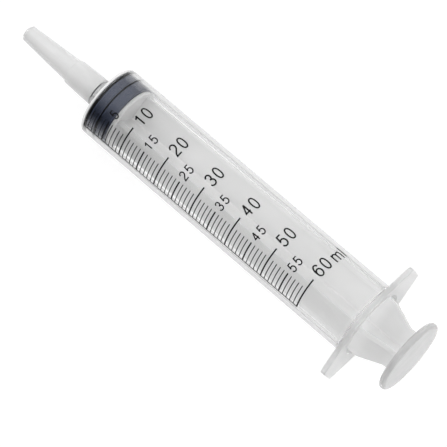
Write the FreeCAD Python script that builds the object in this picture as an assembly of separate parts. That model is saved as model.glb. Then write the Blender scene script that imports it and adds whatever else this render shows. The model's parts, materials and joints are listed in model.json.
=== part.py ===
import FreeCAD, Part
import math
import os

os.makedirs("parts", exist_ok=True)

V = FreeCAD.Vector

# A 60 ml catheter tip syringe with its tip cap on and its plunger fully in.
# X runs along the axis from the tip (-X) to the thumb press (+X), with zero at the zero of the scale.
# Y runs across the two finger wings, Z is up as the syringe lies on a table. Sizes are in mm.

# Barrel tube and front wall
bore_radius = 13.4
barrel_wall = 1.2
cavity_front = -0.3
cavity_depth = 130.1
cavity_corner = 0.3
front_wall = 1.5
shoulder_round = 0.8
mouth_chamfer = 0.5

# Retaining bead inside the mouth, which keeps the stopper in
bead_setback = 3.6
bead_height = 0.3
bead_length = 2.0

# Finger flange: flats above and below, two tapering wings
flange_thickness = 2.2
wing_reach = 10.1
wing_tip_width = 11.6
flange_flat_width = 9.4
flange_lip = 1.3
wing_tip_round = 2.5
flat_corner_round = 4.0
flange_edge_round = 0.4
flange_root_round = 0.5

# Boss and tapered catheter nozzle
boss_step = 1.05
boss_length = 4.7
boss_root_round = 0.6
boss_edge_round = 0.25
nozzle_base_radius = 4.55
nozzle_tip_radius = 2.4
nozzle_length = 30.0
nozzle_end_round = 0.5
channel_base_radius = 2.2
channel_tip_radius = 1.5

# Tip cap, a long closed sleeve over the nozzle
cap_clearance = 0.04
cap_seat_gap = 0.02
cap_skirt_length = 13.0
cap_tip_space = 6.0
cap_end_wall = 1.3
cap_wall_base = 1.06
cap_wall_skirt_top = 1.6
cap_wall_body = 1.1
cap_wall_end = 1.32
cap_end_round = 1.0
cap_step_round = 0.25
cap_rim_round = 0.2

# Rubber stopper
stopper_clearance = 0.04
stopper_length = 9.3
stopper_front_wall = 2.4
stopper_front_chamfer = 0.3
stopper_snap_lip = 2.4
front_rib_width = 0.9
middle_rib_width = 0.65
middle_rib_place = 4.7
rear_rib_width = 0.6
relief_depth = 0.22
rib_round = 0.09

# Plunger rod
snap_clearance = 0.05
head_radius = 8.0
head_round = 1.0
neck_radius = 5.6
disc_thickness = 1.6
disc_clearance = 1.0
fin_clearance = 0.9
fin_front_drop = 1.3
fin_thickness = 1.8
fin_root_round = 0.8
shoulder_setback = 2.2
tail_length = 4.2
tail_radius = 8.4
tail_flare = 2.6
rod_turn = 18.5

# Thumb press
thumb_gap = 16.2
thumb_radius = 14.9
thumb_thickness = 2.6
thumb_rim_round = 1.1

# Places that follow from the sizes above
barrel_radius = bore_radius + barrel_wall
mouth_x = cavity_front + cavity_depth
front_face_x = cavity_front - front_wall
seat_x = front_face_x - boss_length
nozzle_tip_x = seat_x - nozzle_length
boss_radius = nozzle_base_radius + boss_step
flange_front_x = mouth_x - flange_thickness
flat_z = barrel_radius + flange_lip
wing_y = barrel_radius + wing_reach
stopper_radius = bore_radius - stopper_clearance
stopper_front_x = cavity_front
stopper_rear_x = stopper_front_x + stopper_length
thumb_front_x = mouth_x + thumb_gap


def corner_wire(corners, place):
    """Closed wire through corners (a, b, round), each corner rounded by its radius; place maps (a, b) to 3-D."""
    count = len(corners)
    edges = []
    ends = []
    for i in range(count):
        a, b, radius = corners[i]
        here = V(a, b, 0)
        if radius <= 0:
            ends.append((here, here, None))
            continue
        before = V(corners[i - 1][0], corners[i - 1][1], 0) - here
        after = V(corners[(i + 1) % count][0], corners[(i + 1) % count][1], 0) - here
        before.normalize()
        after.normalize()
        half = math.acos(max(-1.0, min(1.0, before.dot(after)))) / 2
        reach = radius / math.tan(half)
        middle = before + after
        middle.normalize()
        crown = here + middle * (radius / math.sin(half) - radius)
        ends.append((here + before * reach, here + after * reach, crown))
    for i in range(count):
        start, finish, crown = ends[i]
        if crown is not None:
            edges.append(Part.Arc(place(start), place(crown), place(finish)).toShape())
        following = ends[(i + 1) % count][0]
        if finish.distanceToPoint(following) > 1e-7:
            edges.append(Part.LineSegment(place(finish), place(following)).toShape())
    return Part.Wire(edges)


def turned(corners):
    """Solid of revolution about X from a closed half profile of (x, radius, round) corners."""
    face = Part.Face(corner_wire(corners, lambda p: V(p.x, 0, p.y)))
    solid = face.revolve(V(0, 0, 0), V(1, 0, 0), 360)
    return solid if solid.ShapeType == "Solid" else Part.Solid(solid.Shells[0])


def nozzle_radius(x):
    """Outer radius of the nozzle's straight taper at x, carried on past its tip for the cap."""
    slope = (nozzle_base_radius - nozzle_tip_radius) / nozzle_length
    return nozzle_base_radius + slope * (x - seat_x)


def edges_near(shape, test):
    """Edges of a shape whose middle point passes the test."""
    found = []
    for edge in shape.Edges:
        first, last = edge.ParameterRange
        if test(edge.valueAt((first + last) / 2), edge):
            found.append(edge)
    return found


# Barrel

def flange_plate():
    """Flange outline in the YZ plane: flats at top and bottom, straight sides tapering to rounded wing tips."""
    flat_y = flange_flat_width / 2
    tip_z = wing_tip_width / 2
    outline = [
        (flat_y, flat_z, flat_corner_round),
        (wing_y, tip_z, wing_tip_round),
        (wing_y, -tip_z, wing_tip_round),
        (flat_y, -flat_z, flat_corner_round),
        (-flat_y, -flat_z, flat_corner_round),
        (-wing_y, -tip_z, wing_tip_round),
        (-wing_y, tip_z, wing_tip_round),
        (-flat_y, flat_z, flat_corner_round),
    ]
    wire = corner_wire(outline, lambda p: V(flange_front_x, p.x, p.y))
    plate = Part.Face(wire).extrude(V(flange_thickness, 0, 0))

    def on_rims(point, edge):
        return abs(point.x - flange_front_x) < 1e-4 or abs(point.x - mouth_x) < 1e-4

    return plate.makeFillet(flange_edge_round, edges_near(plate, on_rims))


def barrel_cavity():
    """Everything hollow in the barrel: nozzle channel, bore, retaining bead and mouth chamfer."""
    bead_x = mouth_x - bead_setback
    bead_radius = bore_radius - bead_height
    past = 1.0
    return turned([
        (nozzle_tip_x - past, 0, 0),
        (nozzle_tip_x - past, channel_tip_radius, 0),
        (nozzle_tip_x, channel_tip_radius, 0),
        (cavity_front, channel_base_radius, 0),
        (cavity_front, bore_radius, cavity_corner),
        (bead_x - bead_length / 2, bore_radius, 0.6),
        (bead_x, bead_radius, 1.2),
        (bead_x + bead_length / 2, bore_radius, 0.6),
        (mouth_x - mouth_chamfer, bore_radius, 0),
        (mouth_x, bore_radius + mouth_chamfer, 0),
        (mouth_x + past, bore_radius + mouth_chamfer, 0),
        (mouth_x + past, 0, 0),
    ])


def make_barrel():
    body = turned([
        (nozzle_tip_x, 0, 0),
        (nozzle_tip_x, nozzle_tip_radius, nozzle_end_round),
        (seat_x, nozzle_base_radius, 0),
        (seat_x, boss_radius, boss_edge_round),
        (front_face_x, boss_radius, boss_root_round),
        (front_face_x, barrel_radius, shoulder_round),
        (mouth_x, barrel_radius, 0),
        (mouth_x, 0, 0),
    ])
    body = body.fuse(flange_plate()).removeSplitter()

    def at_root(point, edge):
        on_tube = abs(math.hypot(point.y, point.z) - barrel_radius) < 1e-3
        return on_tube and abs(point.x - flange_front_x) < 1e-3 and edge.Closed

    root = edges_near(body, at_root)
    if root:
        body = body.makeFillet(flange_root_round, root)
    return body.cut(barrel_cavity())


# Tip cap

def make_tip_cap():
    rim_x = seat_x - cap_seat_gap
    step_x = rim_x - cap_skirt_length
    inner_end_x = nozzle_tip_x - cap_tip_space
    end_x = inner_end_x - cap_end_wall
    inner_rim = nozzle_radius(rim_x) + cap_clearance
    inner_end = nozzle_radius(inner_end_x) + cap_clearance
    return turned([
        (inner_end_x, 0, 0),
        (end_x, 0, 0),
        (end_x, nozzle_radius(end_x) + cap_clearance + cap_wall_end, cap_end_round),
        (step_x, nozzle_radius(step_x) + cap_clearance + cap_wall_body, cap_step_round),
        (step_x, nozzle_radius(step_x) + cap_clearance + cap_wall_skirt_top, cap_step_round),
        (rim_x, inner_rim + cap_wall_base, cap_rim_round),
        (rim_x, inner_rim, cap_rim_round),
        (inner_end_x, inner_end, cap_rim_round),
    ])


# Stopper

def make_stopper():
    """Rubber piston: front, middle and rear sealing ribs with relieved lands between, and a snap pocket behind."""
    front = stopper_front_x
    rear = stopper_rear_x
    outer = stopper_radius
    relief = outer - relief_depth
    middle_a = front + middle_rib_place - middle_rib_width / 2
    middle_b = front + middle_rib_place + middle_rib_width / 2
    pocket_front = front + stopper_front_wall
    pocket_rear = rear - stopper_snap_lip
    return turned([
        (front, 0, 0),
        (front, outer - stopper_front_chamfer, 0.1),
        (front + stopper_front_chamfer, outer, rib_round),
        (front + front_rib_width, outer, rib_round),
        (front + front_rib_width + relief_depth, relief, rib_round),
        (middle_a - relief_depth, relief, rib_round),
        (middle_a, outer, rib_round),
        (middle_b, outer, rib_round),
        (middle_b + relief_depth, relief, rib_round),
        (rear - rear_rib_width - relief_depth, relief, rib_round),
        (rear - rear_rib_width, outer, rib_round),
        (rear, outer, 0.25),
        (rear, neck_radius + snap_clearance, 0),
        (pocket_rear, neck_radius + snap_clearance, 0),
        (pocket_rear, head_radius + snap_clearance, 0),
        (pocket_front, head_radius + snap_clearance, head_round + snap_clearance),
        (pocket_front, 0, 0),
    ])


# Plunger rod

def rod_head():
    """Snap head, neck and the round disc that backs the stopper."""
    head_front = stopper_front_x + stopper_front_wall + snap_clearance
    head_rear = stopper_rear_x - stopper_snap_lip - snap_clearance
    disc_front = stopper_rear_x + snap_clearance
    disc_radius = bore_radius - disc_clearance
    return turned([
        (head_front, 0, 0),
        (head_front, head_radius, head_round),
        (head_rear, head_radius, 0),
        (head_rear, neck_radius, 0),
        (disc_front, neck_radius, 0),
        (disc_front, disc_radius, 0.3),
        (disc_front + disc_thickness, disc_radius, 0.3),
        (disc_front + disc_thickness, 0, 0),
    ])


def fin_pair():
    """One flat plate through the axis: rising slightly along the bore, then narrowing to a waist at the thumb."""
    start = stopper_rear_x + snap_clearance + disc_thickness / 2
    full = bore_radius - fin_clearance
    low = full - fin_front_drop
    shoulder = mouth_x + shoulder_setback
    waist = thumb_front_x - tail_length
    flare = tail_radius + tail_flare + 0.2
    sunk = thumb_front_x + thumb_thickness / 2
    upper = [
        (start, low, 0),
        (shoulder, full, 5.0),
        (waist, tail_radius, 4.0),
        (thumb_front_x, tail_radius, tail_flare),
        (thumb_front_x, flare, 0),
        (sunk, flare, 0),
    ]
    lower = [(x, -r, k) for x, r, k in reversed(upper)]
    wire = corner_wire(upper + lower, lambda p: V(p.x, -fin_thickness / 2, p.y))
    return Part.Face(wire).extrude(V(0, fin_thickness, 0))


def make_plunger_rod():
    upright = fin_pair()
    across = upright.copy()
    across.rotate(V(0, 0, 0), V(1, 0, 0), 90)
    cross = upright.fuse(across)
    half = fin_thickness / 2

    def at_root(point, edge):
        inner = abs(abs(point.y) - half) < 1e-4 and abs(abs(point.z) - half) < 1e-4
        return inner and edge.Length > 20

    cross = cross.makeFillet(fin_root_round, edges_near(cross, at_root))
    thumb = turned([
        (thumb_front_x, 0, 0),
        (thumb_front_x, thumb_radius, thumb_rim_round),
        (thumb_front_x + thumb_thickness, thumb_radius, thumb_rim_round),
        (thumb_front_x + thumb_thickness, 0, 0),
    ])
    rod = cross.fuse(rod_head()).fuse(thumb).removeSplitter()
    rod.rotate(V(0, 0, 0), V(1, 0, 0), rod_turn)
    return rod


def single_solid(shape):
    """The one solid in a shape."""
    return shape.Solids[0] if len(shape.Solids) == 1 else shape


nodes = {
    "barrel": make_barrel(),
    "tip_cap": make_tip_cap(),
    "stopper": make_stopper(),
    "plunger_rod": make_plunger_rod(),
}

for name, shape in nodes.items():
    solid = single_solid(shape)
    solid.exportStep("parts/" + name + ".step")
    box = solid.BoundBox
    print(name, len(shape.Solids), solid.isValid(), round(solid.Volume, 1),
          [round(v, 2) for v in (box.XMin, box.XMax, box.YMin, box.YMax, box.ZMin, box.ZMax)])
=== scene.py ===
import json
import math

import bmesh
import bpy
import numpy as np
from mathutils import Matrix, Vector


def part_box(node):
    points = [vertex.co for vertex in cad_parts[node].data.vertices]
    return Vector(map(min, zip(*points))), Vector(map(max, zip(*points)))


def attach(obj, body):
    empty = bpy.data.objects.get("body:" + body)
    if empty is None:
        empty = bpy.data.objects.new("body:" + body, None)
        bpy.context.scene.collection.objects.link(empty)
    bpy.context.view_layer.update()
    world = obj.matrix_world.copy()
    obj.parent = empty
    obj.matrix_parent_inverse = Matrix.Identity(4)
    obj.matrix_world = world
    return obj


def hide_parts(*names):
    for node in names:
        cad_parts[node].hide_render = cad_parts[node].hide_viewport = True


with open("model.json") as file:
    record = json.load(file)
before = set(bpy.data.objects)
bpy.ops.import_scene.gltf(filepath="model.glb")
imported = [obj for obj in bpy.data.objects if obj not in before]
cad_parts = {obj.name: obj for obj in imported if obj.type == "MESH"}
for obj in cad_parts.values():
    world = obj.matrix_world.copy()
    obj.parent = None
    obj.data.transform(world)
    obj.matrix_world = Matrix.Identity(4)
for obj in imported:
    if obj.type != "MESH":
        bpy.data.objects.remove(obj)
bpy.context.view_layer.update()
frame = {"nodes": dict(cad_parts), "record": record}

# A 60 ml catheter tip syringe lying on a white table, tip cap on, plunger fully in.
# X runs along the axis from the tip to the thumb press, zero at the zero of the scale; Z is up.
# Sizes are in millimetres until a mesh is made, where MM turns them to metres.
MM = 0.001

# Sizes and places that the CAD solids already hold, and the thickness of their thumb press
mounts = {mount["name"]: mount for mount in frame["record"]["mounts"]}
barrel_radius = mounts["barrel_outside"]["dims"]["r_mm"]
stopper_low, stopper_high = [Vector(corner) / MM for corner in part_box("stopper")]
flange_front = mounts["flange_front"]["pos_m"][0] / MM
boss_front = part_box("tip_cap")[1][0] / MM
press_thickness = 2.6
press_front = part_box("plunger_rod")[1][0] / MM - press_thickness
floor_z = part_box("barrel")[0][2] / MM

# Rubber stopper: it fills the bore, and its front and middle ribs are pressed into the wall
stopper_clearance = 0.04
rib_squeeze = 0.02
front_rib_width = 0.9
middle_rib_width = 0.65
middle_rib_place = 4.7
rear_rib_width = 0.6
relief_depth = 0.22
rib_round = 0.09
front_chamfer = 0.1
front_round = 0.1
rear_round = 0.2
pocket_round = 1.0
front_wall = 2.4
snap_lip = 2.4
pocket_radius = 8.05
neck_hole_radius = 5.65
sharp_edge_degrees = 50
bore_radius = stopper_high.z + stopper_clearance

# Printed scale: millilitres along the barrel, azimuths in degrees from the top towards +Y
ml_length = 1.769
full_scale = 60
print_twist = 0.02
print_twist_from = 17.0
line_azimuth = -60.0
short_tick_end = -23.5
long_tick_end = -6.8
baseline_width = 0.42
thin_tick_width = 0.36
bold_tick_width = 0.58
tick_points = 15
baseline_points = 61
ink_sink = 0.012
ink_height = 0.02
mitre_limit = 0.4
big_digit_height = 5.3
big_digit_width = 2.8
big_digit_stroke = 0.60
big_digit_azimuth = 7.3
big_digit_advance = 15.2
number_lift = {50: 0.3, 60: 0.85}
small_digit_height = 4.0
small_digit_width = 2.2
small_digit_stroke = 0.49
small_digit_azimuth = -13.0
small_digit_advance = 12.3
lone_digit_azimuth = -9.8
nought_squareness = 2.3
unit_stem_azimuths = (37.0, 45.2, 53.5)
unit_l_azimuth = 60.0
unit_base = 108.0
unit_x_height = 3.6
unit_l_height = 4.9
unit_arch_share = 0.38

# The photograph's view: a long lens high over the barrel
camera_place = (0.3270, -0.0069, 0.9145)
camera_right = (0.7304, 0.6497, -0.2107)
camera_up = (-0.6242, 0.7602, 0.1801)
picture_size = 447
focal_pixels = 2605.9
sensor_width = 36.0

# Barrel plastic: its wall is clear, cloudier seen edge on, and it is milky where it is thick: in the rim of
# its front end, less in the front wall and the nozzle, and in the flange. Painted shade makes the flange
# greyest at its root
front_milky_from = -0.35
front_milky_full = -0.9
front_rim_inner = 11.8
front_rim_outer = 13.2
front_wall_clearness = 0.7
edge_haze_from = 0.5
edge_haze_full = 0.8
edge_clearness = 0.25
wall_gloss = (0.05, 0.10)
wall_absorption = 12.0
barrel_milk_depth = 3.0
barrel_light_share = 1.0
flange_fade = 1.0
flange_clearness = 0.6
flange_satin = 0.3
flange_edge_share = 0.2
flange_root_reach = 10.0
flange_wing_reach = 18.0
# Painted shade: the flange's colour, greyer at its root near the axis than in its wings
flange_painted_shade_tones = [(0.0, "#E0E0E0"), (1.0, "#F6F6F6")]

# Painted shade: the groove between the cap's rim and the boss is painted as a thin dark arc on top
painted_groove_shade_tone = "#101010"
arc_middle = 0.24
arc_half_width = 0.25
arc_fades_at = 2.6
arc_full_at = 5.2

# Cap and rod plastic: roughness from and to, and the share of light that passes to what they cover
milky_gloss = (0.14, 0.22)
milky_light_share = 0.75

# Rod plastic along its length, painted shade: shade from the black rubber greys its front end, and the tail
# outside the barrel and the solid press are painted greyer than the fins
rod_painted_shade_tones = [(10.0, "#EFEFEF"), (24.0, "#F5F5F5"), (40.0, "#FFFFFF"), (130.0, "#FFFFFF"),
             (133.0, "#F3F3F3"), (140.0, "#F3F3F3"), (144.0, "#FFFFFF"),
             (press_front - 1.0, "#FFFFFF"), (press_front + 0.2, "#DADADA")]

# Light: a white tent with a dark slot where the camera looks in. The slot spans the directions that the
# barrel mirrors to the camera, so that black rubber stays black behind its wall, and it is darkest at -Y.
# Levels are shares of white. Heights, sides and widths are parts of a direction of length one.
tent_wall = 0.48
tent_roof = 1.2
roof_height = 0.5
dim_side = 0.8
bright_side = 1.2
lean_reach = 0.8
slot_x = -0.30
slot_half_width = 0.12
slot_soft_width = 0.32
slot_foot = 0.45
slot_dark = 0.0
slot_pale = 0.64
slot_dark_y = -0.75
slot_pale_y = 0.15

# Table: half its side in metres, its paint, and the white that the camera sees with the shadow's depth
table_half = 4.0
table_white = 0.85
table_shadow = 0.3
table_lift = 0.78


# Small helpers

def linear(code):
    """Linear RGBA of an sRGB hex colour such as "#E6E8EA"."""
    srgb = np.array([int(code[i:i + 2], 16) for i in (1, 3, 5)]) / 255
    low = srgb / 12.92
    high = ((srgb + 0.055) / 1.055) ** 2.4
    return tuple(np.where(srgb <= 0.04045, low, high)) + (1.0,)


def add_node(tree, kind, values=None):
    """Adds a node. A value that is a socket is linked to the input of that name, the stops of a ramp are
    (position, hex colour) pairs, and any other value is set on the input or property of that name."""
    node = tree.nodes.new(kind)
    for key, value in (values or {}).items():
        if isinstance(value, bpy.types.NodeSocket):
            tree.links.new(value, node.inputs[key])
        elif key == "stops":
            elements = node.color_ramp.elements
            while len(elements) < len(value):
                elements.new(0.5)
            for element, (position, code) in zip(elements, value):
                element.position = position
                element.color = linear(code)
        elif isinstance(key, int) or key in node.inputs:
            node.inputs[key].default_value = value
        else:
            setattr(node, key, value)
    return node


def new_material(name):
    """Empty node material, with its tree and output node."""
    material = bpy.data.materials.new(name)
    material.use_nodes = True
    tree = material.node_tree
    tree.nodes.clear()
    return material, tree, add_node(tree, "ShaderNodeOutputMaterial")


def cloudy_pattern(tree, along, across, detail):
    """Cloudy pattern from 0 to 1, worked out from real lengths in mm along the axis and across it."""
    place = add_node(tree, "ShaderNodeTexCoord").outputs["Object"]
    scale = (1 / (along * MM), 1 / (across * MM), 1 / (across * MM))
    sized = add_node(tree, "ShaderNodeMapping", {"Vector": place, "Scale": scale}).outputs[0]
    return add_node(tree, "ShaderNodeTexNoise",
                    {"Vector": sized, "Scale": 1.0, "Detail": detail}).outputs["Fac"]


def tone_along(tree, stops):
    """Colours down the axis through (x in mm, hex colour) stops."""
    first, last = stops[0][0], stops[-1][0]
    place = add_node(tree, "ShaderNodeTexCoord").outputs["Object"]
    along = add_node(tree, "ShaderNodeSeparateXYZ", {"Vector": place}).outputs["X"]
    share = add_node(tree, "ShaderNodeMapRange",
                     {"Value": along, "From Min": first * MM, "From Max": last * MM}).outputs[0]
    shares = [((x - first) / (last - first), code) for x, code in stops]
    return add_node(tree, "ShaderNodeValToRGB", {"Fac": share, "stops": shares}).outputs[0]


def grid_faces(rows, columns, wrap_columns):
    """Quads of a rows by columns grid of vertices, the last column joined to the first where it wraps."""
    across = columns if wrap_columns else columns - 1
    row, column = np.meshgrid(np.arange(rows - 1), np.arange(across), indexing="ij")
    start = (row * columns + column).ravel()
    beside = (row * columns + (column + 1) % columns).ravel()
    return np.stack([start, beside, beside + columns, start + columns], axis=1)


def mesh_piece(name, points, faces, material, body):
    """Object at the origin from points in mm, its faces turned outwards, riding on a body."""
    mesh = bpy.data.meshes.new(name)
    mesh.from_pydata((np.asarray(points) * MM).tolist(), [], [list(map(int, face)) for face in faces])
    shape = bmesh.new()
    shape.from_mesh(mesh)
    bmesh.ops.recalc_face_normals(shape, faces=shape.faces)
    shape.to_mesh(mesh)
    shape.free()
    mesh.materials.append(material)
    piece = bpy.data.objects.new(name, mesh)
    bpy.context.scene.collection.objects.link(piece)
    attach(piece, body)
    return piece


# Materials

def lets_light_in(tree, shader, share):
    """A shader that lets a share of the lamp light and of scattered light through to what it covers."""
    path = add_node(tree, "ShaderNodeLightPath").outputs
    pass_by = add_node(tree, "ShaderNodeBsdfTransparent", {"Color": linear("#FCFCFC")}).outputs[0]
    for ray in ("Is Diffuse Ray", "Is Shadow Ray"):
        amount = add_node(tree, "ShaderNodeMath", {"operation": "MULTIPLY", 0: path[ray], 1: share})
        shader = add_node(tree, "ShaderNodeMixShader", {0: amount.outputs[0], 1: shader, 2: pass_by}).outputs[0]
    return shader


def barrel_colour(tree, place, flange, slant, flow):
    """Colour of the barrel's plastic: almost white face on and greyer edge on, with the flange's painted shade
    by the distance off the axis, and a thin dark arc of painted shade in the groove before the boss."""
    face_on = add_node(tree, "ShaderNodeValToRGB",
                       {"Fac": flow, "stops": [(0.3, "#FCFCFC"), (0.7, "#FFFFFF")]})
    # Painted shade on the flange, greyer near the axis than in its wings
    off_axis = add_node(tree, "ShaderNodeMath", {"operation": "ABSOLUTE", 0: place["Y"]})
    reach = add_node(tree, "ShaderNodeMapRange", {
        "Value": off_axis.outputs[0], "From Min": flange_root_reach * MM, "From Max": flange_wing_reach * MM})
    flange_painted_shade = add_node(tree, "ShaderNodeValToRGB", {"Fac": reach.outputs[0], "stops": flange_painted_shade_tones})
    tone = add_node(tree, "ShaderNodeMix", {
        "data_type": "RGBA", 0: flange, 6: face_on.outputs[0], 7: flange_painted_shade.outputs[0]})
    edge_on = add_node(tree, "ShaderNodeValToRGB",
                       {"Fac": slant, "stops": [(0.35, "#FFFFFF"), (0.75, "#D2D2D2")]})
    edge_share = add_node(tree, "ShaderNodeMapRange",
                          {"Value": flange, "To Min": 1.0, "To Max": flange_edge_share})
    haze = add_node(tree, "ShaderNodeMix", {
        "data_type": "RGBA", "blend_type": "MULTIPLY",
        0: edge_share.outputs[0], 6: tone.outputs[2], 7: edge_on.outputs[0]})
    # Painted shade: a thin dark arc on top of the boss's front edge, in the groove by the cap's rim
    groove = add_node(tree, "ShaderNodeMath", {
        "operation": "COMPARE", 0: place["X"], 1: (boss_front + arc_middle) * MM, 2: arc_half_width * MM})
    top = add_node(tree, "ShaderNodeMapRange", {
        "interpolation_type": "SMOOTHSTEP", "Value": place["Z"],
        "From Min": arc_fades_at * MM, "From Max": arc_full_at * MM})
    arc = add_node(tree, "ShaderNodeMath", {"operation": "MULTIPLY", 0: groove.outputs[0], 1: top.outputs[0]})
    return add_node(tree, "ShaderNodeMix", {
        "data_type": "RGBA", 0: arc.outputs[0], 6: haze.outputs[2], 7: linear(painted_groove_shade_tone)}).outputs[2]


def barrel_clearness(tree, coordinates, place, flange, slant):
    """How clear the barrel's plastic is: the least of what the flange, the front end and the slant allow. The
    front end's share falls from that of the front wall to nothing as the radius reaches the rim."""
    across = add_node(tree, "ShaderNodeVectorMath",
                      {"operation": "MULTIPLY", 0: coordinates, 1: (0.0, 1.0, 1.0)})
    radius = add_node(tree, "ShaderNodeVectorMath", {"operation": "LENGTH", 0: across.outputs[0]})
    front_share = add_node(tree, "ShaderNodeMapRange", {
        "Value": radius.outputs["Value"], "From Min": front_rim_inner * MM, "From Max": front_rim_outer * MM,
        "To Min": front_wall_clearness, "To Max": 0.0})
    in_front = add_node(tree, "ShaderNodeMapRange", {
        "Value": place["X"], "From Min": front_milky_full * MM, "From Max": front_milky_from * MM,
        "To Min": front_share.outputs[0]})
    in_flange = add_node(tree, "ShaderNodeMapRange",
                         {"Value": flange, "To Min": 1.0, "To Max": flange_clearness})
    edge_on = add_node(tree, "ShaderNodeMapRange", {
        "Value": slant, "From Min": edge_haze_from, "From Max": edge_haze_full,
        "To Min": 1.0, "To Max": edge_clearness})
    ends = add_node(tree, "ShaderNodeMath",
                    {"operation": "MINIMUM", 0: in_flange.outputs[0], 1: in_front.outputs[0]})
    return add_node(tree, "ShaderNodeMath",
                    {"operation": "MINIMUM", 0: ends.outputs[0], 1: edge_on.outputs[0]}).outputs[0]


def clear_polypropylene():
    """Injection-moulded clear polypropylene of the barrel: see-through with a faint milky haze, so the
    white table comes through pale grey, cloudier where the wall is seen edge on. The rim of its front
    end is milky, and the flange is milky and satin, with painted shade that greys its root more than its wings."""
    material, tree, output = new_material("clear_moulded_polypropylene")
    flow = cloudy_pattern(tree, along=25.0, across=6.0, detail=3.0)
    ripple = cloudy_pattern(tree, along=18.0, across=4.0, detail=1.0)
    coordinates = add_node(tree, "ShaderNodeTexCoord").outputs["Object"]
    place = add_node(tree, "ShaderNodeSeparateXYZ", {"Vector": coordinates}).outputs
    flange = add_node(tree, "ShaderNodeMapRange", {
        "Value": place["X"], "From Min": (flange_front - flange_fade) * MM,
        "From Max": flange_front * MM}).outputs[0]
    slant = add_node(tree, "ShaderNodeLayerWeight", {"Blend": 0.5}).outputs["Facing"]
    wall_roughness = add_node(tree, "ShaderNodeMapRange",
                              {"Value": flow, "To Min": wall_gloss[0], "To Max": wall_gloss[1]})
    roughness = add_node(tree, "ShaderNodeMath", {
        "operation": "MULTIPLY_ADD", 0: flange, 1: flange_satin, 2: wall_roughness.outputs[0]})
    bump = add_node(tree, "ShaderNodeBump", {"Height": ripple, "Strength": 0.15, "Distance": 0.05 * MM})
    shader = add_node(tree, "ShaderNodeBsdfPrincipled", {
        "Base Color": barrel_colour(tree, place, flange, slant, flow),
        "Roughness": roughness.outputs[0], "Normal": bump.outputs[0],
        "Transmission Weight": barrel_clearness(tree, coordinates, place, flange, slant),
        "IOR": 1.49, "Subsurface Weight": 1.0, "Subsurface Radius": (1.0, 1.0, 1.0),
        "Subsurface Scale": barrel_milk_depth * MM})
    depth = add_node(tree, "ShaderNodeVolumeAbsorption",
                     {"Color": linear("#CBCBCB"), "Density": wall_absorption})
    tree.links.new(lets_light_in(tree, shader.outputs[0], barrel_light_share), output.inputs["Surface"])
    tree.links.new(depth.outputs[0], output.inputs["Volume"])
    return material


def milky_plastic(name, dark, light, grain, clearness, depth, painted_shade=None):
    """Natural polyolefin, moulded: light sinks in to a depth in mm, so edges glow and what lies behind
    shows through as a blur. A satin grain in mm breaks up the gloss, and painted shade can vary it down the
    axis."""
    material, tree, output = new_material(name)
    cloud = cloudy_pattern(tree, along=12.0, across=5.0, detail=3.0)
    satin = cloudy_pattern(tree, along=grain, across=grain, detail=2.0)
    colour = add_node(tree, "ShaderNodeValToRGB",
                      {"Fac": cloud, "stops": [(0.3, dark), (0.7, light)]}).outputs[0]
    # Painted shade down the axis, multiplied into the colour
    if painted_shade:
        colour = add_node(tree, "ShaderNodeMix", {
            "data_type": "RGBA", "blend_type": "MULTIPLY",
            0: 1.0, 6: colour, 7: tone_along(tree, painted_shade)}).outputs[2]
    roughness = add_node(tree, "ShaderNodeMapRange",
                         {"Value": cloud, "To Min": milky_gloss[0], "To Max": milky_gloss[1]})
    bump = add_node(tree, "ShaderNodeBump", {"Height": satin, "Strength": 0.12, "Distance": 0.03 * MM})
    shader = add_node(tree, "ShaderNodeBsdfPrincipled", {
        "Base Color": colour, "Roughness": roughness.outputs[0], "Normal": bump.outputs[0],
        "IOR": 1.5, "Transmission Weight": clearness, "Subsurface Weight": 0.8,
        "Subsurface Radius": (1.0, 1.0, 1.0), "Subsurface Scale": depth * MM})
    tree.links.new(lets_light_in(tree, shader.outputs[0], milky_light_share), output.inputs["Surface"])
    return material


def stopper_rubber(name, dark, light, shine, tint):
    """Moulded black butyl rubber with a film of silicone oil. Dry, it has a blue-grey bloom and a satin
    shine; wetted against the wall of the barrel it loses both and looks black."""
    material, tree, output = new_material(name)
    bloom = cloudy_pattern(tree, along=3.0, across=3.0, detail=3.0)
    grain = cloudy_pattern(tree, along=0.4, across=0.4, detail=2.0)
    colour = add_node(tree, "ShaderNodeValToRGB", {"Fac": bloom, "stops": [(0.3, dark), (0.7, light)]})
    bump = add_node(tree, "ShaderNodeBump", {"Height": grain, "Strength": 0.2, "Distance": 0.03 * MM})
    shader = add_node(tree, "ShaderNodeBsdfPrincipled", {
        "Base Color": colour.outputs[0], "Normal": bump.outputs[0],
        "IOR": 1.52, "Roughness": 0.35, "Specular IOR Level": shine, "Specular Tint": linear(tint)})
    tree.links.new(shader.outputs[0], output.inputs["Surface"])
    return material


def screen_ink():
    """Black screen-printing ink on the barrel: matt and very slightly uneven, as it is rolled on."""
    material, tree, output = new_material("black_screen_ink")
    lay = cloudy_pattern(tree, along=0.5, across=0.5, detail=2.0)
    colour = add_node(tree, "ShaderNodeValToRGB",
                      {"Fac": lay, "stops": [(0.35, "#060607"), (0.75, "#161618")]})
    shader = add_node(tree, "ShaderNodeBsdfPrincipled",
                      {"Base Color": colour.outputs[0], "Roughness": 0.6, "Specular IOR Level": 0.15})
    tree.links.new(shader.outputs[0], output.inputs["Surface"])
    return material


# Rubber stopper

def rounded_profile(corners, steps=4):
    """Half profile through (x, radius, round) corners: each corner becomes a quadratic curve between the two
    points that lie one round away from it along its sides."""
    points = []
    for i, (x, radius, turn) in enumerate(corners):
        corner = np.array([x, radius])
        if turn <= 0 or i in (0, len(corners) - 1):
            points.append(corner[None])
            continue
        before = np.array(corners[i - 1][:2]) - corner
        after = np.array(corners[i + 1][:2]) - corner
        start = corner + before / np.linalg.norm(before) * turn
        end = corner + after / np.linalg.norm(after) * turn
        t = np.linspace(0, 1, steps)[:, None]
        points.append((1 - t) ** 2 * start + 2 * t * (1 - t) * corner + t ** 2 * end)
    return np.concatenate(points)


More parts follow.
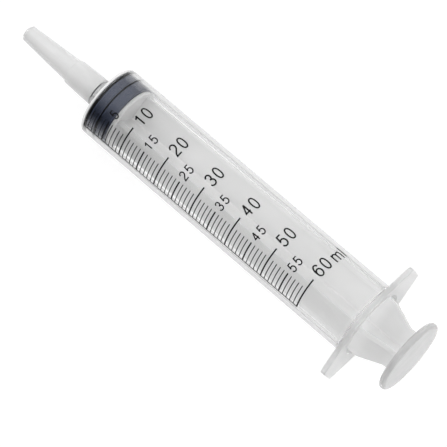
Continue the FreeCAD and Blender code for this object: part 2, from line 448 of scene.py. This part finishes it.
def turned_surface(profile, sides=144):
    """Surface of revolution about X: ring j of the grid is profile point j swung round at equal angles.
    The first and last points lie on the axis and close the two ends as single poles."""
    angle = np.arange(sides) * 2 * math.pi / sides
    x, radius = profile[1:-1, :1], profile[1:-1, 1:]
    rings = np.stack([x + 0 * angle, radius * np.sin(angle), radius * np.cos(angle)], axis=2).reshape(-1, 3)
    poles = np.array([[profile[0, 0], 0, 0], [profile[-1, 0], 0, 0]])
    count = len(profile) - 2
    first, last = len(rings), len(rings) + 1
    around = np.arange(sides)
    beside = (around + 1) % sides
    end = (count - 1) * sides
    front_fan = np.stack([np.full(sides, first), beside, around], axis=1)
    rear_fan = np.stack([np.full(sides, last), end + around, end + beside], axis=1)
    faces = [*grid_faces(count, sides, True), *front_fan, *rear_fan]
    return np.concatenate([rings, poles]), faces


def make_stopper(dry, wetted):
    """Turned rubber piston whose front and middle ribs bulge into the barrel wall, with the rod's pocket.
    Faces further out than the bore are in touch with the wall, and get the wetted rubber."""
    front, rear = stopper_low.x, stopper_high.x
    free = bore_radius - stopper_clearance
    pressed = bore_radius + rib_squeeze
    relief = free - relief_depth
    middle_a = front + middle_rib_place - middle_rib_width / 2
    middle_b = front + middle_rib_place + middle_rib_width / 2
    pocket_front = front + front_wall
    pocket_rear = rear - snap_lip
    slope = relief_depth + stopper_clearance + rib_squeeze
    profile = rounded_profile([
        (front, 0, 0),
        (front, pressed - front_chamfer, front_round),
        (front + front_chamfer, pressed, rib_round),
        (front + front_rib_width, pressed, rib_round),
        (front + front_rib_width + slope, relief, rib_round),
        (middle_a - slope, relief, rib_round),
        (middle_a, pressed, rib_round),
        (middle_b, pressed, rib_round),
        (middle_b + slope, relief, rib_round),
        (rear - rear_rib_width - relief_depth, relief, rib_round),
        (rear - rear_rib_width, free, rib_round),
        (rear, free, rear_round),
        (rear, neck_hole_radius, 0),
        (pocket_rear, neck_hole_radius, 0),
        (pocket_rear, pocket_radius, 0),
        (pocket_front, pocket_radius, pocket_round),
        (pocket_front, 0, 0),
    ])
    points, faces = turned_surface(profile)
    piece = mesh_piece("rubber_stopper", points, faces, dry, "piston")
    piece.data.materials.append(wetted)
    middles = np.empty(len(piece.data.polygons) * 3)
    piece.data.polygons.foreach_get("center", middles)
    off_axis = np.linalg.norm(middles.reshape(-1, 3)[:, 1:], axis=1) / MM
    piece.data.polygons.foreach_set("material_index", (off_axis > bore_radius).astype(np.int32))
    piece.data.polygons.foreach_set("use_smooth", np.ones(len(piece.data.polygons), bool))
    piece.data.set_sharp_from_angle(angle=math.radians(sharp_edge_degrees))
    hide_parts("stopper")
    return piece


# Printed scale

def on_barrel(across, along, height):
    """Print plane to space: across is an arc length round the barrel, along runs down its axis, and height
    stands off its surface. The azimuth also drifts a little along the barrel, as the print lies twisted."""
    azimuth = across / barrel_radius + np.radians(print_twist * (along - print_twist_from))
    radius = barrel_radius + height
    return np.stack([along, radius * np.sin(azimuth), radius * np.cos(azimuth)], axis=-1)


def arc_length(azimuth):
    """Length round the barrel from the top to an azimuth in degrees."""
    return math.radians(azimuth) * barrel_radius


def ink_strip(path, width):
    """Closed slab of ink along a flat path: every point is moved half the width to both sides along the
    mitre of its two neighbours, and given a lower and an upper skin, which makes rings of four. In a looped
    path the last ring is the first one again."""
    path = np.asarray(path, float)
    looped = np.allclose(path[0], path[-1])
    line = path[:-1] if looped else path
    ahead = np.roll(line, -1, axis=0) - line
    if not looped:
        ahead[-1] = ahead[-2]
    ahead /= np.linalg.norm(ahead, axis=1, keepdims=True)
    behind = np.roll(ahead, 1, axis=0)
    if not looped:
        behind[0] = ahead[0]
    side = np.stack([-ahead[:, 1] - behind[:, 1], ahead[:, 0] + behind[:, 0]], axis=1)
    side /= np.linalg.norm(side, axis=1, keepdims=True)
    slant = side[:, 0] * -ahead[:, 1] + side[:, 1] * ahead[:, 0]
    offset = side * (width / 2) / np.maximum(slant, mitre_limit)[:, None]
    flat = np.stack([line + offset, line - offset, line - offset, line + offset], axis=1)
    height = np.array([-ink_sink, -ink_sink, ink_height, ink_height])
    points = on_barrel(flat[:, :, 0], flat[:, :, 1], height).reshape(-1, 3)
    rows = len(line)
    if looped:
        return points, [*(grid_faces(rows + 1, 4, True) % (rows * 4))]
    end = (rows - 1) * 4
    caps = [np.array([0, 1, 2, 3]), np.array([end + 3, end + 2, end + 1, end])]
    return points, [*grid_faces(rows, 4, True), *caps]


def print_piece(name, strips, material):
    """One printed piece from many ink strips, each given as (path, width)."""
    points, faces, count = [], [], 0
    for path, width in strips:
        strip_points, strip_faces = ink_strip(path, width)
        points.append(strip_points)
        faces += [face + count for face in strip_faces]
        count += len(strip_points)
    return mesh_piece(name, np.concatenate(points), faces, material, "barrel")


def bend(centre, radii, start, end, count=13):
    """Stretch of an ellipse between two angles in degrees."""
    angle = np.radians(np.linspace(start, end, count))
    return np.stack([centre[0] + radii[0] * np.cos(angle), centre[1] + radii[1] * np.sin(angle)], axis=1)


def sweep(start, pull_a, pull_b, end, count=9):
    """Cubic curve from start to end, pulled towards two points."""
    t = np.linspace(0, 1, count)[:, None]
    parts = [(1 - t) ** 3 * np.array(start), 3 * t * (1 - t) ** 2 * np.array(pull_a)]
    parts += [3 * t ** 2 * (1 - t) * np.array(pull_b), t ** 3 * np.array(end)]
    return sum(parts)


def oblong(count=33):
    """Closed superellipse in the unit box, the form of a nought."""
    angle = np.linspace(0, 2 * math.pi, count)
    c, s = np.cos(angle), np.sin(angle)
    power = 2 / nought_squareness
    return 0.5 + 0.5 * np.stack([np.sign(c) * abs(c) ** power, np.sign(s) * abs(s) ** power], axis=1)


# Plain sans digits as centre lines in a unit box, x to the right and y up
digit_lines = {
    "0": [oblong()],
    "1": [
        np.array([(0.62, 0.0), (0.62, 1.0)]),
        sweep((0.12, 0.76), (0.40, 0.80), (0.55, 0.86), (0.62, 0.99)),
    ],
    "2": [np.concatenate([
        bend((0.5, 0.72), (0.5, 0.28), 172, 0),
        sweep((1.0, 0.72), (1.0, 0.42), (0.10, 0.34), (0.0, 0.0))[1:],
        np.array([(1.0, 0.0)]),
    ])],
    "3": [bend((0.47, 0.755), (0.43, 0.245), 165, -90), bend((0.45, 0.265), (0.55, 0.265), 95, -165)],
    "4": [np.array([(0.72, 1.0), (0.0, 0.32), (1.0, 0.32)]), np.array([(0.72, 1.0), (0.72, 0.0)])],
    "5": [np.array([(0.93, 1.0), (0.2, 1.0), (0.07, 0.47)]), bend((0.46, 0.32), (0.54, 0.32), 147, -160)],
    "6": [np.concatenate([
        bend((0.53, 0.56), (0.53, 0.44), 35, 180),
        bend((0.5, 0.32), (0.5, 0.32), 180, 540, 25),
    ])],
}


def print_digits(text, height, width, stroke, first_azimuth, advance, centre):
    """Ink strips of a number. Digit tops point to the tip; the number reads towards +Y from first_azimuth."""
    strips = []
    for place, digit in enumerate(text):
        left = arc_length(first_azimuth + place * advance) - (width - stroke) / 2
        bottom = centre + (height - stroke) / 2
        for line in digit_lines[digit]:
            across = left + line[:, 0] * (width - stroke)
            along = bottom - line[:, 1] * (height - stroke)
            strips.append((np.stack([across, along], axis=1), stroke))
    return strips


def tick(millilitres, end_azimuth, width):
    """Straight ink strip round the barrel at one volume, cut fine enough to follow the curve."""
    across = np.linspace(arc_length(line_azimuth), arc_length(end_azimuth), tick_points)
    return np.stack([across, np.full(tick_points, millilitres * ml_length)], axis=1), width


def make_scale(ink):
    """Baseline, a tick for each millilitre, numbers at every 5 ml and the unit, as one piece each."""
    length = full_scale * ml_length
    half = bold_tick_width / 2
    along = np.linspace(-half, length + half, baseline_points)
    baseline = np.stack([np.full(baseline_points, arc_length(line_azimuth)), along], axis=1)
    print_piece("scale_baseline", [(baseline, baseline_width)], ink)

    ticks = []
    for volume in range(0, full_scale + 1):
        end = short_tick_end if volume % 10 else long_tick_end
        ticks.append(tick(volume, end, thin_tick_width if volume % 5 else bold_tick_width))
    print_piece("scale_ticks", ticks, ink)

    numbers = []
    for volume in range(10, full_scale + 1, 10):
        centre = volume * ml_length - number_lift.get(volume, 0)
        numbers += print_digits(str(volume), big_digit_height, big_digit_width, big_digit_stroke,
                                big_digit_azimuth, big_digit_advance, centre)
    for volume in range(15, full_scale, 10):
        numbers += print_digits(str(volume), small_digit_height, small_digit_width, small_digit_stroke,
                                small_digit_azimuth, small_digit_advance, volume * ml_length)
    numbers += print_digits("5", small_digit_height, small_digit_width, small_digit_stroke,
                            lone_digit_azimuth, small_digit_advance, 5 * ml_length)
    print_piece("scale_numbers", numbers, ink)

    stems = [arc_length(azimuth) for azimuth in unit_stem_azimuths]
    l_stem = arc_length(unit_l_azimuth)
    half = big_digit_stroke / 2
    strips = [(np.array([(stems[0], unit_base), (stems[0], unit_base - unit_x_height)]), big_digit_stroke)]
    spring = unit_base - unit_x_height * (1 - unit_arch_share)
    rise = unit_x_height * unit_arch_share - half
    for left, right in zip(stems, stems[1:]):
        arch = bend(((left + right) / 2, spring), ((right - left) / 2, -rise), 180, 0)
        strips.append((np.concatenate([arch, np.array([(right, unit_base)])]), big_digit_stroke))
    strips.append((np.array([(l_stem, unit_base), (l_stem, unit_base - unit_l_height)]), big_digit_stroke))
    print_piece("scale_unit", strips, ink)


# Studio

def make_floor():
    """Wide white table. To the camera and through clear plastic it is white, but for the syringe's shadow."""
    mesh = bpy.data.meshes.new("white_table")
    corners = [(-1, -1), (1, -1), (1, 1), (-1, 1)]
    mesh.from_pydata([(x * table_half, y * table_half, floor_z * MM) for x, y in corners], [], [(0, 1, 2, 3)])
    material, tree, output = new_material("white_laminate_table")
    path = add_node(tree, "ShaderNodeLightPath").outputs
    seen = path["Is Camera Ray"]
    for ray in ("Is Glossy Ray", "Is Transmission Ray"):
        seen = add_node(tree, "ShaderNodeMath", {"operation": "MAXIMUM", 0: seen, 1: path[ray]}).outputs[0]
    paint = add_node(tree, "ShaderNodeBsdfDiffuse", {"Color": (table_white,) * 3 + (1.0,)})
    shaded = add_node(tree, "ShaderNodeBsdfDiffuse", {"Color": (table_shadow,) * 3 + (1.0,)})
    glow = add_node(tree, "ShaderNodeEmission", {"Color": (1.0, 1.0, 1.0, 1.0), "Strength": table_lift})
    white = add_node(tree, "ShaderNodeAddShader", {0: shaded.outputs[0], 1: glow.outputs[0]})
    table_shader = add_node(tree, "ShaderNodeMixShader", {0: seen, 1: paint.outputs[0], 2: white.outputs[0]})
    tree.links.new(table_shader.outputs[0], output.inputs["Surface"])
    mesh.materials.append(material)
    table = bpy.data.objects.new("white_table", mesh)
    bpy.context.scene.collection.objects.link(table)


def light_studio():
    """White tent with its camera slot, brighter on one side: wall to roof, times the sideways lean, times the
    cloth, which is the paler of the slot's sides and its foot. The camera itself sees it as plain white."""
    world = bpy.data.worlds.new("white_tent")
    world.use_nodes = True
    tree = world.node_tree
    tree.nodes.clear()
    towards = add_node(tree, "ShaderNodeTexCoord").outputs["Generated"]
    axes = add_node(tree, "ShaderNodeSeparateXYZ", {"Vector": towards}).outputs
    rise = add_node(tree, "ShaderNodeMapRange", {
        "interpolation_type": "SMOOTHSTEP", "Value": axes["Z"], "From Min": 0.0, "From Max": roof_height,
        "To Min": tent_wall, "To Max": tent_roof})
    lean = add_node(tree, "ShaderNodeMapRange", {
        "interpolation_type": "SMOOTHSTEP", "Value": axes["Y"], "From Min": -lean_reach,
        "From Max": lean_reach, "To Min": dim_side, "To Max": bright_side})
    tent = add_node(tree, "ShaderNodeMath", {"operation": "MULTIPLY", 0: rise.outputs[0], 1: lean.outputs[0]})
    slot = add_node(tree, "ShaderNodeMapRange", {
        "interpolation_type": "SMOOTHSTEP", "Value": axes["Y"], "From Min": slot_dark_y,
        "From Max": slot_pale_y, "To Min": slot_dark, "To Max": slot_pale})
    off_slot = add_node(tree, "ShaderNodeMath", {"operation": "SUBTRACT", 0: axes["X"], 1: slot_x})
    beside = add_node(tree, "ShaderNodeMath", {"operation": "ABSOLUTE", 0: off_slot.outputs[0]})
    side = add_node(tree, "ShaderNodeMapRange", {
        "interpolation_type": "SMOOTHSTEP", "Value": beside.outputs[0], "From Min": slot_half_width,
        "From Max": slot_soft_width, "To Min": slot.outputs[0], "To Max": 1.0})
    foot = add_node(tree, "ShaderNodeMapRange", {
        "interpolation_type": "SMOOTHSTEP", "Value": axes["Z"], "From Min": 0.0, "From Max": slot_foot,
        "To Min": 1.0, "To Max": slot.outputs[0]})
    cloth = add_node(tree, "ShaderNodeMath", {"operation": "MAXIMUM", 0: side.outputs[0], 1: foot.outputs[0]})
    level = add_node(tree, "ShaderNodeMath",
                     {"operation": "MULTIPLY", 0: tent.outputs[0], 1: cloth.outputs[0]})
    to_camera = add_node(tree, "ShaderNodeLightPath").outputs["Is Camera Ray"]
    seen = add_node(tree, "ShaderNodeMix", {"data_type": "FLOAT", 0: to_camera, 2: level.outputs[0], 3: 1.0})
    sky = add_node(tree, "ShaderNodeBackground",
                   {"Color": (1.0, 1.0, 1.0, 1.0), "Strength": seen.outputs[0]})
    add_node(tree, "ShaderNodeOutputWorld", {"Surface": sky.outputs[0]})
    bpy.context.scene.world = world


def place_camera():
    """Camera at the photograph's viewing angle, built from its right and up directions."""
    right, up = Vector(camera_right).normalized(), Vector(camera_up).normalized()
    back = right.cross(up).normalized()
    up = back.cross(right)
    lens = bpy.data.cameras.new("camera")
    lens.sensor_width = sensor_width
    lens.lens = sensor_width * focal_pixels / picture_size
    lens.clip_start = 0.01
    lens.clip_end = 20.0
    camera = bpy.data.objects.new("camera", lens)
    turn = Matrix((right, up, back)).transposed().to_4x4()
    camera.matrix_world = Matrix.Translation(camera_place) @ turn
    bpy.context.scene.collection.objects.link(camera)
    bpy.context.scene.camera = camera


def dress(node, material):
    """Gives a carried-over solid its own material."""
    mesh = frame["nodes"][node].data
    mesh.materials.clear()
    mesh.materials.append(material)


dress("barrel", clear_polypropylene())
dress("tip_cap", milky_plastic("milky_low_density_polyethylene", "#E8E8E8", "#EFEFEF",
                               grain=0.5, clearness=0.3, depth=0.5))
dress("plunger_rod", milky_plastic("milky_moulded_polypropylene", "#F4F4F4", "#FAFAFA",
                                   grain=0.6, clearness=0.4, depth=0.5, painted_shade=rod_painted_shade_tones))
make_stopper(
    stopper_rubber("dry_black_butyl_rubber", "#1E222D", "#252A37", shine=1.0, tint="#C4D4FF"),
    stopper_rubber("wetted_black_butyl_rubber", "#060607", "#09090A", shine=0.0, tint="#FFFFFF"))
make_scale(screen_ink())
make_floor()
light_studio()
place_camera()
bpy.context.scene.view_settings.view_transform = "Standard"
